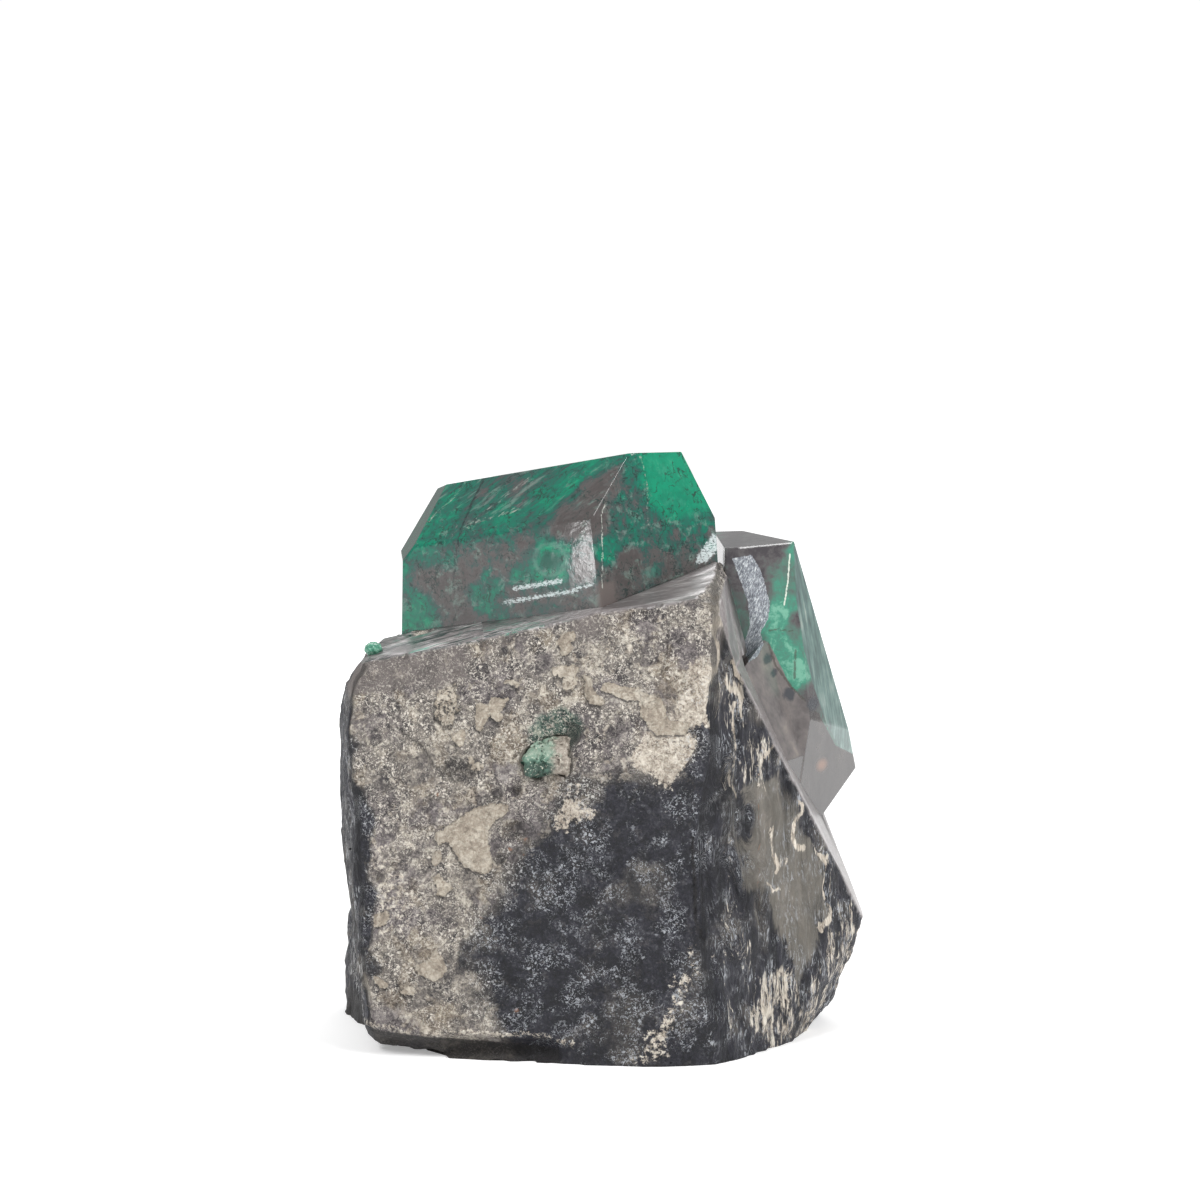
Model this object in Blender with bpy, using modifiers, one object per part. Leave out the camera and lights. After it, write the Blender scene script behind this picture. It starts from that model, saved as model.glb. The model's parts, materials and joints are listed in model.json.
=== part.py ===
"""Emerald in matrix: a broken block of mica schist that carries emerald crystals.

Two big crystals are ground to flat polished facets. A third, small and left as it grew, sits in the block's
rough front. The block was sawn flat below, broken by hand all round and ground smooth where the crystals
stand. Lengths in the tables are millimetres, +X to the right, +Y to the back and +Z up. The tables share
one zero on the base, and the stone is moved onto its own middle at the end.
"""

import math

import bmesh
import bpy
from mathutils import Vector, noise

MM = 0.001
GROWN_GAP = 0.3  # clearance that stands for the grown contact between a crystal and its socket
HALVES_STEP = 0.1  # the side crystal's lower half is this much slimmer than the upper one
BLANK_SIZE = 300.0  # side of the block that every facetted shape is ground from

# Corners of the broken block, from its front face round to its back.
BLOCK_CORNERS = (
    # top edge of the front face, left to right
    (-51.3, 19, 83.9), (-37.6, 15, 86.2), (-19, 11, 91.9), (0, 8, 94.9), (21.1, 4, 97.5), (24.5, 4.5, 96.2),
    # left edge of the front face, top to bottom
    (-55.2, 17, 80.2), (-54, 13, 54.4), (-52, 9, 41.5), (-50, 4, 6), (-47.3, 4.5, 1.6),
    # lower edge of the front face
    (-25.8, 1.5, 1.2), (-8.5, -1, 0.8), (0, -5.3, -1), (9.3, -6, -1),
    # edge between the front face and the right face, bottom to top
    (21.4, -5, 22.5), (18.9, -2, 45.4), (23.6, 2, 76.7), (25.2, 6, 92.3),
    # ridge that falls to the right, then the foot below it
    (30.2, 12, 80.8), (35.2, 18, 70.3), (42, 25, 58.5), (49.6, 33, 42), (59.4, 43, 25.2), (58.2, 45, 18),
    (53.7, 46, 6.7), (51.9, 46, 2), (44.7, 32, -1), (39.9, 15.7, -1), (32, 4.5, -1), (24.3, -3.4, -1),
    # left face, where it meets the back
    (-58.2, 45, 74.6), (-58.9, 45, 62.2), (-58.6, 45, 49.7), (-56.5, 47, 26), (-53, 50, -1),
    # top, behind the crystals
    (-48.5, 34, 86.8), (-49, 62, 84), (-20, 70, 92), (14, 70, 98), (26.3, 36, 104.4), (30, 62, 98),
    # back face, and the shoulder that the side crystal leans on
    (-52, 76, 60), (-46, 84, 30), (-42, 82, -1), (20, 88, 34), (38, 78, -1), (36, 78, 70), (39.5, 64, 74),
    (52, 68, 28),
)
# Corners of the lump at the rear left, which stands back from the left face.
FOOT_CORNERS = (
    (-59, 62, 18.5), (-59.3, 62, 10), (-58.3, 52, -1), (-53.4, 37, -1), (-52, 40, 16), (-57.4, 56, 27),
    (-45, 60, 40), (-44, 78, 20), (-44, 78, -1), (-35, 45, -1), (-35, 45, 20), (-57, 68, -1),
)

# The broken surface.
REMESH_SIZE = 1.5  # grain of the surface while it is broken
MATRIX_TRIANGLES = 5600  # what is kept of it after that
SWELL = (24.0, 0.8)  # width and height of the long swells
FLAKES = ((9.0, 0.55, 3), (4.5, 0.3, 8))  # width, height and seed of each set of level flakes
FLAKE_SCATTER = 7.3  # sets the heights of neighbouring flakes apart
BED_WIDTH = 2.6  # the schist's layers stand on edge, so its ribs are narrow in X and Y
BED_LENGTH = 16.0  # and long in Z
RIB_HEIGHTS = (0.15, 0.7)  # across the layers, as on the front, and along them, as on the left and right
RAISE = 0.3  # makes up for what the remeshing takes off the edges
GROUND_FROM = 0.9  # a spot that faces like the ground flank more squarely than this stays smooth
HOLLOWS = (  # centre, radius, depth, and how the sides fall: under 1 is a pit, over 1 a soft dish
    ((-8.5, 4.5, 69.5), 4.6, 2.8, 0.7),
    ((-17.7, 4, 57), 2.2, 2.4, 0.7),
    ((22, -4, 44), 27, 5.5, 1.2),
    ((-40, 22, -1), 7, 1.5, 1.2),
)

# Each ground facet is given by the way it faces (degrees from the front, + to the right), how far it leans
# up, and a point on it.
BLOCK_FACETS = {
    "base": (0, -90, (0, 0, 0)),
    "top_left": (-55.6, 72.3, (0, 9, 95)),
    "top_right": (-40.8, 76, (0, 9, 95)),
}
# What was ground off the block's right flank, in front of the side crystal, by the faces of the waste: the
# steep valley between the two crystals, and the bevel along the ridge below it.
VALLEY = (81.9, 15.4)  # the way the valley faces
BEVEL = (82.4, 23.1)  # the way the bevel faces
FLANK_WASTE = {
    "valley": (VALLEY[0] - 180, -VALLEY[1], (25, 5, 96)),
    "bevel": (BEVEL[0] - 180, -BEVEL[1], (30.5, 12, 80.8)),
    "far_end": (170, 25, (34, 50, 100)),
}
TOP_CRYSTAL_FACETS = {
    "left_lower": (-29.3, 0.9, (0.6, 12, 94.6)),
    "left_upper": (-37.6, 41.6, (0.4, 12.4, 115.4)),
    "left_end_lower": (-84, 1, (-44.6, 46, 105.6)),
    "left_end_upper": (-78, 33, (-44.6, 46, 105.6)),
    "right_lower": (41.1, 6.9, (0.6, 12, 94.6)),
    "corner_upper": (39, 18, (0.4, 12.4, 115.4)),
    "right_upper": (48.5, 16, (25.2, 36.3, 112.5)),
    "right_end_lower": (88, 4, (26.2, 40, 104)),
    "right_end_upper": (100, 28, (26, 42, 111)),
    "back_lower": (162, 3, (-6, 62, 100)),
    "back_upper": (158, 34, (-6, 62, 108)),
    "back_left": (-128, 12, (-38, 58, 100)),
    "top": (-132.5, 80.6, (6.1, 22, 128.3)),
    "root": (129.5, -74.4, (0, 9, 87)),
}
SIDE_CRYSTAL_FACETS = {
    "front": (15.1, 8.7, (43, 42.1, 106.9)),
    "right": (65.2, 8.1, (43, 42.1, 106.9)),
    "right_low": (63, -3, (50.6, 45, 66.9)),
    "top": (-42.7, 85, (43.3, 42.2, 108)),
    "left": (-88, 0, (27.7, 40, 100)),
    "back": (165, 2, (40, 69, 90)),
    "back_right": (110, 22, (55.9, 58.9, 65.6)),
    "lower_end": (90, -45, (56.4, 54, 52.2)),
    "root": (-105, -22, (27, 50, 64)),
}
# The side crystal's grey lower half reaches forward to the ridge: the same facets but for its own front and
# shoulder.
LOWER_HALF_FACETS = SIDE_CRYSTAL_FACETS | {
    "front": (62.5, 17.7, (37.3, 37.3, 86.1)),
    "left": (-99.8, 55, (30.7, 22.9, 83.8)),
    "inner": (-60, -35, (36.3, 23.5, 61.2)),
}
# What the grinding wheel took off the side crystal's upper left edge, by the faces of the waste.
SIDE_CRYSTAL_WASTE = {
    "band": (178, -3.5, (31, 38.6, 105)),
    "floor": (90, -45, (38.2, 37.8, 88.5)),
}
SMALL_CRYSTAL_FACETS = {
    "face": (-8, 12, (-11.5, 2.8, 64)),
    "top": (-20, 66, (-10.5, 4, 66)),
    "left_top": (-95, 40, (-15, 4, 65.6)),
    "left": (-92, -12, (-15.8, 4, 63.5)),
    "right": (80, 8, (-6.9, 4, 64)),
    "bottom": (10, -72, (-11, 4, 60.9)),
    "root": (172, -12, (-11, 11, 64)),
}


def mm(place):
    return Vector(place) * MM


def facing(azimuth, lean):
    """Unit vector that points out of a facet."""
    across = math.cos(math.radians(lean))
    return Vector((
        across * math.sin(math.radians(azimuth)),
        -across * math.cos(math.radians(azimuth)),
        math.sin(math.radians(lean)),
    ))


def add_object(name, work_mesh, collection):
    mesh = bpy.data.meshes.new(name)
    work_mesh.to_mesh(mesh)
    work_mesh.free()
    item = bpy.data.objects.new(name, mesh)
    collection.objects.link(item)
    return item


def grind(work_mesh, azimuth, lean, place, allowance=0.0):
    """Cuts away all that lies outside one facet and closes the cut."""
    normal = facing(azimuth, lean)
    geometry = work_mesh.verts[:] + work_mesh.edges[:] + work_mesh.faces[:]
    point = mm(place) + normal * allowance * MM
    cut = bmesh.ops.bisect_plane(work_mesh, geom=geometry, plane_co=point, plane_no=normal, clear_outer=True)
    rim = [element for element in cut["geom_cut"] if isinstance(element, bmesh.types.BMEdge)]
    bmesh.ops.holes_fill(work_mesh, edges=rim)


def facetted_block(facets, allowance=0.0):
    """A large cube with every facet ground onto it."""
    work_mesh = bmesh.new()
    bmesh.ops.create_cube(work_mesh, size=BLANK_SIZE * MM)
    for azimuth, lean, place in facets.values():
        grind(work_mesh, azimuth, lean, place, allowance)
    bmesh.ops.recalc_face_normals(work_mesh, faces=work_mesh.faces)
    return work_mesh


def broken_lump(corners):
    """The lump of rock that spans its corners."""
    work_mesh = bmesh.new()
    for corner in corners:
        work_mesh.verts.new(mm(corner))
    bmesh.ops.convex_hull(work_mesh, input=work_mesh.verts)
    inner = [vert for vert in work_mesh.verts if not vert.link_faces]
    bmesh.ops.delete(work_mesh, geom=inner, context="VERTS")
    bmesh.ops.recalc_face_normals(work_mesh, faces=work_mesh.faces)
    return work_mesh


def flake_height(place, width, seed):
    """From -1 to 1: level over one flake of rock, with a step at its edge."""
    flake = noise.voronoi(place / width + Vector((seed, seed, seed)))[1][0]
    return noise.noise(flake * FLAKE_SCATTER)


def hollow_depth(place):
    depth = 0.0
    for centre, radius, deepest, fall in HOLLOWS:
        nearness = 1 - (place - Vector(centre)).length / radius
        depth += deepest * max(0.0, nearness) ** fall
    return depth


def break_surface(work_mesh):
    """Gives the smooth lump its swells, flakes, upright ribs and hollows."""
    work_mesh.normal_update()
    flank = facing(*BEVEL)
    moves = []
    for vert in work_mesh.verts:
        place = vert.co / MM
        height = SWELL[1] * noise.noise(place / SWELL[0])
        for width, flake, seed in FLAKES:
            height += flake * flake_height(place, width, seed)
        bedded = Vector((place.x / BED_WIDTH, place.y / BED_WIDTH, place.z / BED_LENGTH))
        rib = RIB_HEIGHTS[0] + (RIB_HEIGHTS[1] - RIB_HEIGHTS[0]) * abs(vert.normal.x)
        height += rib * noise.noise(bedded)
        squareness = (vert.normal.dot(flank) - GROUND_FROM) / (1 - GROUND_FROM)
        height *= 1 - min(1, max(0, 2 * squareness))
        moves.append((height + RAISE - hollow_depth(place)) * MM)
    for vert, move in zip(work_mesh.verts, moves):
        vert.co += vert.normal * move


def apply_modifiers(item):
    bpy.context.view_layer.update()
    graph = bpy.context.evaluated_depsgraph_get()
    mesh = bpy.data.meshes.new_from_object(item.evaluated_get(graph))
    item.modifiers.clear()
    item.data = mesh


def boolean(item, name, operation, other):
    modifier = item.modifiers.new(name, "BOOLEAN")
    modifier.operation = operation
    modifier.object = other
    modifier.solver = "EXACT"


def work_on(item, work):
    """Runs one bmesh job on an object's mesh and leaves triangles."""
    work_mesh = bmesh.new()
    work_mesh.from_mesh(item.data)
    work(work_mesh)
    bmesh.ops.triangulate(work_mesh, faces=work_mesh.faces)
    work_mesh.to_mesh(item.data)
    work_mesh.free()


def stone(name, colour, roughness):
    material = bpy.data.materials.new(name)
    material.use_nodes = True
    shader = material.node_tree.nodes["Principled BSDF"]
    shader.inputs["Base Color"].default_value = (*colour, 1.0)
    shader.inputs["Roughness"].default_value = roughness
    shader.inputs["Metallic"].default_value = 0.0
    return material


def grind_block(work_mesh):
    for azimuth, lean, place in BLOCK_FACETS.values():
        grind(work_mesh, azimuth, lean, place)


def matrix_of_schist(collection, cutters):
    """Two lumps joined, broken all over, thinned out, then ground flat where the real one is."""
    item = add_object("matrix", broken_lump(BLOCK_CORNERS), collection)
    foot = add_object("rear_foot", broken_lump(FOOT_CORNERS), cutters)
    boolean(item, "rear foot", "UNION", foot)
    remesh = item.modifiers.new("grain", "REMESH")
    remesh.mode = "VOXEL"
    remesh.voxel_size = REMESH_SIZE * MM
    apply_modifiers(item)
    work_on(item, break_surface)
    thin = item.modifiers.new("thin out", "DECIMATE")
    thin.ratio = MATRIX_TRIANGLES / len(item.data.polygons)
    apply_modifiers(item)
    work_on(item, grind_block)
    waste = add_object("flank_waste", facetted_block(FLANK_WASTE), cutters)
    boolean(item, "flank", "DIFFERENCE", waste)
    return item


def crystal(name, facets, matrix, collection, cutters):
    """A facetted crystal, and its socket in the matrix."""
    item = add_object(name, facetted_block(facets), collection)
    socket = add_object(name + "_socket", facetted_block(facets, GROWN_GAP), cutters)
    boolean(matrix, name + " socket", "DIFFERENCE", socket)
    return item, socket


def two_halves(item, cutters, allowance=0.0):
    """Joins the grey lower half onto the side crystal or its socket."""
    lower_half = facetted_block(LOWER_HALF_FACETS, allowance - HALVES_STEP)
    lower = add_object(item.name + "_lower_half", lower_half, cutters)
    boolean(item, "lower half", "UNION", lower)


def centre_on_base(items, helpers, collection):
    """Hangs everything on an empty that stands the middle of the stone over the origin."""
    bpy.context.view_layer.update()
    graph = bpy.context.evaluated_depsgraph_get()
    corners = [Vector(corner) for item in items for corner in item.evaluated_get(graph).bound_box]
    anchor = bpy.data.objects.new("stone", None)
    collection.objects.link(anchor)
    anchor.location.x = -(min(c.x for c in corners) + max(c.x for c in corners)) / 2
    anchor.location.y = -(min(c.y for c in corners) + max(c.y for c in corners)) / 2
    for item in (*items, *helpers):
        item.parent = anchor


for old in list(bpy.data.objects):
    bpy.data.objects.remove(old, do_unlink=True)
scene_collection = bpy.context.scene.collection
specimen = bpy.data.collections.new("emerald_in_matrix")
scene_collection.children.link(specimen)
cutters = bpy.data.collections.new("cutters")
scene_collection.children.link(cutters)

matrix = matrix_of_schist(specimen, cutters)
top_crystal, _ = crystal("top_crystal", TOP_CRYSTAL_FACETS, matrix, specimen, cutters)
side_crystal, side_socket = crystal("side_crystal", SIDE_CRYSTAL_FACETS, matrix, specimen, cutters)
small_crystal, _ = crystal("small_crystal", SMALL_CRYSTAL_FACETS, matrix, specimen, cutters)
two_halves(side_crystal, cutters)
two_halves(side_socket, cutters, GROWN_GAP)
wheel_waste = add_object("wheel_waste", facetted_block(SIDE_CRYSTAL_WASTE), cutters)
boolean(side_crystal, "ground edge", "DIFFERENCE", wheel_waste)
for helper in cutters.objects:
    helper.hide_render = True
    helper.display_type = "WIRE"
matrix.data.materials.append(stone("mica_schist", (0.20, 0.18, 0.16), 0.85))
top_crystal.data.materials.append(stone("polished_emerald", (0.03, 0.28, 0.16), 0.15))
side_crystal.data.materials.append(stone("polished_emerald_grey", (0.10, 0.24, 0.19), 0.15))
small_crystal.data.materials.append(stone("rough_emerald", (0.22, 0.42, 0.32), 0.45))
centre_on_base((matrix, top_crystal, side_crystal, small_crystal), cutters.objects, specimen)
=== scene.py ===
import json
import math

import bmesh
import bpy
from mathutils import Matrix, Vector, noise
from mathutils.bvhtree import BVHTree
from mathutils.geometry import intersect_point_line

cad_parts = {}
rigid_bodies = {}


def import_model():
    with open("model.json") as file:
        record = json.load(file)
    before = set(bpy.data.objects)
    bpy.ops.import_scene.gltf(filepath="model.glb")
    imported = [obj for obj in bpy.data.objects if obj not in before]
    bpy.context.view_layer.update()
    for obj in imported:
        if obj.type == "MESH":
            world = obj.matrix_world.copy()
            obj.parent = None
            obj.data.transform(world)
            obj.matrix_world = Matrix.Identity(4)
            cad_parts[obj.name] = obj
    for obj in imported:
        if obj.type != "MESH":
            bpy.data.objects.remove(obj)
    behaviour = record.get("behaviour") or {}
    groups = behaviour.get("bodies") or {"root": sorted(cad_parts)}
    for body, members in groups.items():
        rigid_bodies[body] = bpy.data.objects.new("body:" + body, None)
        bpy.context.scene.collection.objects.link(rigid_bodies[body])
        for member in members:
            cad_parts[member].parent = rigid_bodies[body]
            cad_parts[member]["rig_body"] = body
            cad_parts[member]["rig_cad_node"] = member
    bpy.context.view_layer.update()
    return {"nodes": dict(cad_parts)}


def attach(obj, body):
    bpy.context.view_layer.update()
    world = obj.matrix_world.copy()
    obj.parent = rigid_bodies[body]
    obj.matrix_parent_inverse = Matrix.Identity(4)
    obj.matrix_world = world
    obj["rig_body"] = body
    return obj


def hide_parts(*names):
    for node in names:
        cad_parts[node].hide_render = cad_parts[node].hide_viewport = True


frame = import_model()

# ---------------------------------------------------------------------------------------------
# The rock: a lump of mica schist, broken out by hand and left raw, with a speckled brown front, a
# blue-black lower corner and fibrous sides. Only its top, the hollow beside the side crystal and a
# narrow bevel down its right edge are ground on a wheel and polished.
MM = 0.001
GROUND_FACES = {  # azimuth from the front and lean of each ground face, and a place on it, in mm
    "top_left": (-55.6, 72.3, (0, -31.8, 95)),
    "top_right": (-40.8, 76, (0, -31.8, 95)),
    "valley": (81.9, 15.4, (25.1, -35.8, 96)),
    "bevel": (82.4, 23.1, (30.6, -28.8, 80.8)),
    "base": (0, -90, (0, 0, 0)),
}
EDGE_SHOWN = 1.25  # the longest edge of the mesh on the sides that show most, in mm
EDGE_BEHIND = 2.6  # and on the others
SMOOTHING = 14  # rounds of smoothing that take the facets off the broken faces
GROUND_REACH = 1.6  # how far from a ground face the roughness is back to its full height, in mm
INWARD = 0.3  # keeps the roughness inside the solid, in mm
SWELLS = [(0.42, 6), (0.3, 2.6), (0.12, 1.3)]  # how high and how wide its rounded bumps are, in mm
WANDER = 4.5  # how far the borders of the colours wander, in mm
SAME_CORNER = 0.00001  # corners nearer than this are one, in m
SAME_WAY = 0.9998  # how squarely a face has to point the way of a ground face to be part of it
OFF_PLANE = 0.25  # how far its middle may lie off the ground face, in mm
SOCKET_GAP = 0.45  # a wall of the rock nearer to a crystal than this is its socket, in mm
# Everything on the front is given across and up, in mm. First the flat flakes that stand proud of it:
# how far they do, how tan they are, and their outlines.
FLAKES = {
    "elbow": (0.5, 0.75, [
        (-27.3, 76.7), (-26.4, 75.3), (-23.8, 75.1), (-23.2, 76.6), (-18.7, 76.7), (-20, 75), (-20.8, 73.9),
        (-20.4, 71.9), (-21.9, 71.4), (-23.4, 72.6), (-24.2, 71.3), (-24.9, 69.4), (-26.4, 69.6),
        (-26.8, 71.7), (-26.4, 74)]),
    "broad": (0.4, 0.45, [
        (-35.1, 77.8), (-32.5, 78.7), (-30.7, 80), (-30.1, 79.2), (-30.5, 77.9), (-29.9, 76.7),
        (-30.3, 75.4), (-29, 74.2), (-29.6, 73.3), (-30.9, 72.9), (-30.7, 71.6), (-31.6, 69.9),
        (-33.3, 69.5), (-34.1, 71.1), (-35.5, 71.9), (-35.9, 74)]),
    "upper_middle": (0.5, 0.6, [
        (-10.6, 83), (-8.4, 83.6), (-4, 83.8), (-4.8, 81.8), (-4.4, 79.7), (-5.9, 78), (-8, 77.6),
        (-8.4, 79.2), (-7.6, 80.5), (-9.7, 81.3)]),
    "hook": (0.6, 0.9, [
        (-4.2, 82.3), (-1.8, 80.7), (-1.4, 79), (1.1, 76.1), (0.7, 75), (-2, 75.6), (-2.9, 76.6),
        (-3.3, 78.9), (-2.9, 80.2)]),
    "cream_chip": (0.6, 1.3, [
        (-8, 90.2), (-5.5, 90.7), (-5, 89.2), (-6.5, 88.3), (-5.7, 87.5), (-6.7, 86), (-8, 85.7),
        (-8.4, 87.6), (-9.3, 87.8)]),
    "tongue": (0.4, 0.7, [
        (-20.8, 80.2), (-19.1, 80.7), (-17.2, 80.1), (-16.8, 79), (-17.6, 78.2), (-18.7, 79),
        (-20.4, 79.4)]),
    "blade": (0.4, 0.85, [
        (-31.8, 67.8), (-30.7, 69.1), (-29, 70), (-28.7, 67.9), (-29.4, 65.8), (-30.7, 66.6)]),
    "small_middle": (0.3, 0.6, [
        (-28.5, 63.7), (-27.6, 64.3), (-26.3, 63.3), (-24.6, 62.1), (-24.4, 61.3), (-26.8, 60.6),
        (-28.1, 61.2)]),
    "long_brown": (0.9, 0.8, [
        (-35.3, 46.7), (-34.5, 48), (-32.8, 49.3), (-29.8, 51), (-26.8, 53.2), (-23.3, 54.2),
        (-19.5, 54.3), (-19.3, 52.6), (-22, 50.8), (-23.7, 48.2), (-23.3, 44.4), (-22.5, 41.9),
        (-22.9, 40.2), (-24.2, 39.3), (-26.3, 39.7), (-28.9, 40.9), (-30.6, 43), (-32.3, 45.9),
        (-34.5, 45.4)]),
    "under_long": (0.5, 0.9, [
        (-35.7, 38.2), (-34.4, 39.1), (-33.2, 37.8), (-31, 36.2), (-32.3, 35.3), (-32.9, 34.3),
        (-34.8, 34.7), (-34.6, 36.6)]),
    "left_of_long": (0.4, 0.8, [
        (-36.2, 41.6), (-35.3, 43.7), (-33.8, 44.2), (-33.6, 42.1), (-34.9, 40.4)]),
    "left_edge": (0.4, 0.9, [(-48.4, 30.1), (-45.2, 31.2), (-44.7, 29.6), (-46, 27.9), (-48.2, 27.4)]),
    "orange": (0.6, 1.15, [
        (-39.3, 19.5), (-36.1, 21.1), (-34.8, 22.6), (-33.3, 21.2), (-32.4, 19.5), (-32.9, 18),
        (-35.2, 16.5), (-36.3, 17.3), (-38.6, 18.3)]),
    "low_left": (0.4, 0.8, [(-48.7, 17.4), (-47.7, 17.4), (-45.1, 16.2), (-44.9, 14.9), (-46.8, 14.7)]),
    "low_middle": (0.3, 0.7, [(-43.3, 15.8), (-40.8, 16.1), (-39.1, 14.9), (-39.5, 13.5), (-42.1, 13.3)]),
    "pale_strip": (0.2, 1.0, [
        (0.1, 78.6), (1.3, 80.3), (8.5, 78.7), (9.8, 76.7), (5.4, 76.6), (2.6, 77.8)]),
    "pale_tongue": (0.2, 0.9, [
        (8.5, 78.3), (13.2, 77.1), (14.4, 72.5), (19.1, 72.1), (18.2, 69.4), (11.7, 69.4), (8.5, 73.3)]),
    "nub": (0.6, 1.0, [(29, 86.3), (31, 84.3), (31.6, 81.6), (30.6, 79.2), (29.3, 81.1), (28.1, 84.3)]),
}
CRACKS = {  # how deep, how wide and where, in mm
    "left": (0.6, 0.45, [(-43.7, 69.8), (-41.9, 68.6), (-38.4, 66.2), (-36.7, 63.7), (-34.1, 60)]),
    "upright": (0.5, 0.4, [
        (14.7, 95.8), (14.4, 91.4), (14.2, 86.3), (13, 82.5), (12.5, 80.6), (11.9, 77.7), (11.5, 75.6)]),
    "low_right": (0.7, 0.6, [(19.9, 47), (20.3, 31.1), (21.9, 26.4)]),
}
PITS = {  # how deep, how wide and where, in mm
    "oval": (1.2, 1.9, (-17.6, 57.2)), "low_left": (0.9, 2, (-47.2, 38)),
    "beside_long": (0.9, 2.2, (-21.3, 42.5)), "hollow": (1.3, 5, (-31, 61)),
    "above_long": (1.2, 2.8, (-22, 56.5)), "right_of_long": (1.2, 3.5, (-18, 49))}
# The lip along the foot of the front: where it runs, how far it stands out and how far the foot falls back
# under it, in mm.
LIP = [(-50, 7.4), (-47.2, 7), (-42.5, 5.9), (-36, 5.4), (-27.5, 6.3), (-21.1, 5.7), (-14.7, 6.5), (-6, 4)]
LIP_HEIGHT = 0.7
UNDERCUT = 3.4
# The zones of colour, which stand no higher than the rest
BLUE_BLACK = [
    (19.1, 71.7), (19.1, 59.8), (8.5, 57.6), (-2, 56.3), (-7.3, 53.6), (-11.6, 48.1), (-16.9, 41.3),
    (-20.1, 37.2), (-24.4, 30.7), (-29.2, 21.7), (-21.1, 11), (-16.9, 3.1), (-16, -9), (70, -9), (70, 60),
    (41, 62), (32, 75), (27.5, 88), (25.8, 86), (25, 78)]
OLIVE = [
    (31.1, 54.4), (30.9, 41.6), (33.8, 35.7), (36.3, 32.2), (37.9, 25.4), (40.2, 18.6), (43.7, 12.4),
    (47.3, 16.9), (49.8, 22.9), (50.8, 31.4), (48.6, 40.1), (45.3, 45.1), (42.6, 51.4), (39.1, 58),
    (35.6, 60.4)]
SMOOTH_BAND = [
    (-57, 75.1), (-56, 82), (-49.4, 86), (-38.7, 88), (-27.8, 90), (-25.6, 86.5), (-31.6, 80),
    (-38.5, 77.8), (-45.1, 76.8), (-51.6, 75.3)]
PURPLE_PATCH = [(-7, 95), (0.5, 95), (1.5, 90.5), (-3, 89), (-7, 91.5)]
GREEN_HOLLOW = [
    (-15.2, 67.4), (-14.8, 70.3), (-12.7, 72.9), (-8.4, 74.6), (-4.6, 73.4), (-3.7, 70.5), (-5.4, 67.9),
    (-6.3, 66.2), (-11, 66.7)]
CREAM_PATCHES = [  # how thickly the cream grains lie, and where
    (1, [(17.6, 82.6), (19.1, 84.7), (23.7, 84.3), (24.2, 78.7), (22.9, 74.2), (21.2, 72.1), (19.5, 71.3),
         (17.8, 72.1), (17, 76.7)]),
    (1, [(7, 66.5), (9.6, 69.1), (13.8, 70.9), (18.2, 69.2), (17.8, 65.8), (17, 60.9), (15.3, 58.1),
         (11.7, 59.4), (8.5, 60.8), (6.4, 62.9)]),
    (0.85, [(-8.4, 52.8), (-5.9, 55.4), (-2, 54.1), (-3.3, 50.8), (-6.3, 49.1)]),
    (0.42, [(2.6, 92.2), (8.5, 92.3), (10.6, 87.1), (6.4, 86), (2.6, 87.4)]),
    (0.55, [(50.5, 41), (52.5, 34), (58, 24), (60, 16), (54, 2), (48, 12), (51.5, 22), (51.6, 32)]),
    (0.6, [(31, 5.5), (35, 16), (44, 14), (52, 6), (46, 0), (34, 1)]),
    (0.42, [(25, 78), (28, 82), (38, 62), (36, 56), (26.5, 58)]),
    (0.35, [(27, 46), (31, 47), (33, 24), (38, 10), (26, 8), (25, 26)]),
    (0.56, [(23.5, 24), (19, 14.5), (15.5, 7), (11.5, 0.5), (7.5, 0.5), (11, 8), (14.5, 16), (20, 24)]),
    (0.5, [(-49, 44), (-44, 46), (-38, 33), (-40, 24), (-48, 26)]),
]
DARK_EDGE = [(-57, 66), (-53.2, 66), (-51.4, 54.3), (-50.2, 43.8), (-48.6, 33.2), (-49, 20), (-58, 20)]
PALE_LINES = [  # upright cream streaks on the right side, and the pale edge that runs down to the foot
    (1.0, [(27.7, 82.2), (29.1, 78.1), (30.2, 74.8), (31.3, 71.1)]),
    (0.9, [(35.6, 69.2), (36.3, 65.5), (36.7, 60.1)]),
    (0.8, [(28.9, 75), (29.2, 63.4), (30, 54.5)]),
    (1.0, [(42.6, 52.7), (43.8, 49.1), (43.4, 43.7), (44.6, 39.5)]),
    (1.0, [(39.3, 47.1), (40.1, 43.2), (40.5, 39.5), (39.8, 37.9)]),
    (0.8, [(35.6, 36.6), (37.9, 31.9), (41, 31.6)]),
    (0.7, [(48.6, 40.6), (50.1, 35.9), (50.5, 29.3), (50, 22.9)]),
    (1.5, [(24.3, 95.1), (24.1, 89.3), (23.6, 78.8), (22.6, 72)]),
]


def facing(azimuth, lean):
    """The direction that a face points in, from its azimuth off the front and its lean upwards."""
    turn = math.radians(azimuth)
    rise = math.radians(lean)
    return Vector((math.cos(rise) * math.sin(turn), -math.cos(rise) * math.cos(turn), math.sin(rise)))


def work_on(item):
    """Selects one piece alone and makes it the active one."""
    bpy.ops.object.select_all(action="DESELECT")
    item.select_set(True)
    bpy.context.view_layer.objects.active = item


def on_all_of_it(tool, **settings):
    """Uses one editing tool on the whole mesh of the active piece."""
    bpy.ops.object.mode_set(mode="EDIT")
    bpy.ops.mesh.select_all(action="SELECT")
    tool(**settings)
    bpy.ops.object.mode_set(mode="OBJECT")


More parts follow.
